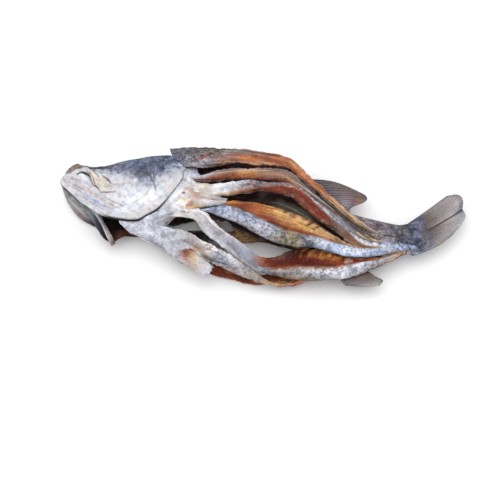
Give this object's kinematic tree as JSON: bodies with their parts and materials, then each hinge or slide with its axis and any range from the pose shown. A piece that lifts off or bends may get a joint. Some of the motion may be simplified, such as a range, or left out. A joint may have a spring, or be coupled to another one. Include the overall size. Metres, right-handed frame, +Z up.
{
  "type": "dried barramundi",
  "caption": "Whole salted and dried barramundi lying on its right side, flanks slit lengthwise into bowed strips between the head and the tail stem.",
  "frame": {"origin": "centre of the bounding box in plan, on the surface that the fish lies on", "axes": "+X from the snout to the tail, +Y to the back, +Z up out of the left side"},
  "size_m": [0.5625, 0.2234, 0.057],
  "materials": {
    "dried_fish": "dried salted skin and flesh, matt with a slight sheen"
  },
  "bodies": {
    "root": {"dried_barramundi": "dried_fish"}
  },
  "joints": []
}
